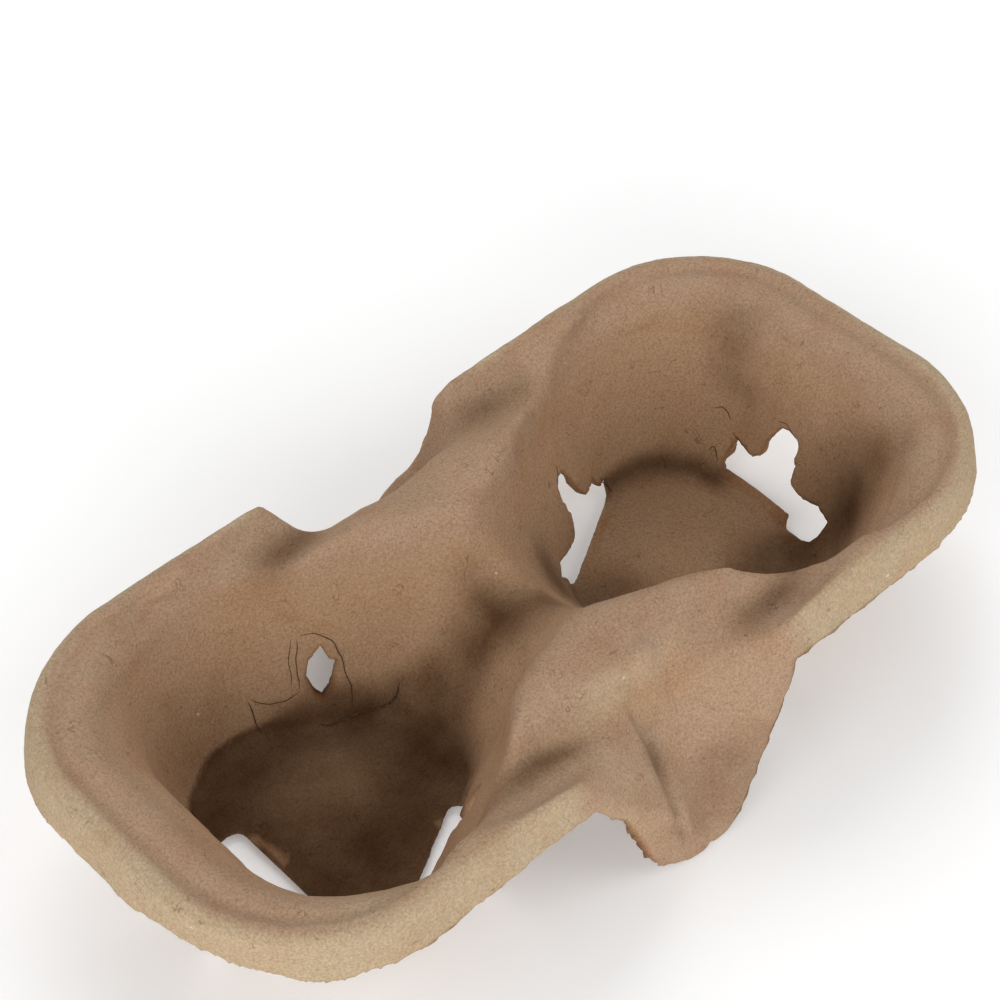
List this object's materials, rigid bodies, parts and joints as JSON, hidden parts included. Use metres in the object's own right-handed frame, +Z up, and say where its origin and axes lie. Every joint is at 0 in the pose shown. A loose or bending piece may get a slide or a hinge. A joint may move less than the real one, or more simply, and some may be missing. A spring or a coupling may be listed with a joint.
{
  "type": "moulded pulp cup carrier",
  "caption": "Shallow moulded-pulp tray with a pair of three-cornered cup pockets, a low saddle between them, a rounded rim with a skirt, and a flap down each long side.",
  "frame": {"origin": "centre of the bounding box, on the table plane under the pocket floors", "axes": "+X along the length, from one pocket to the other; +Y across, towards one flap; +Z up, towards the pocket mouths"},
  "size_m": [0.2154, 0.117, 0.0445],
  "materials": {
    "moulded_pulp": "matt, fibrous"
  },
  "bodies": {
    "root": {"cup_carrier": "moulded_pulp"}
  },
  "joints": []
}
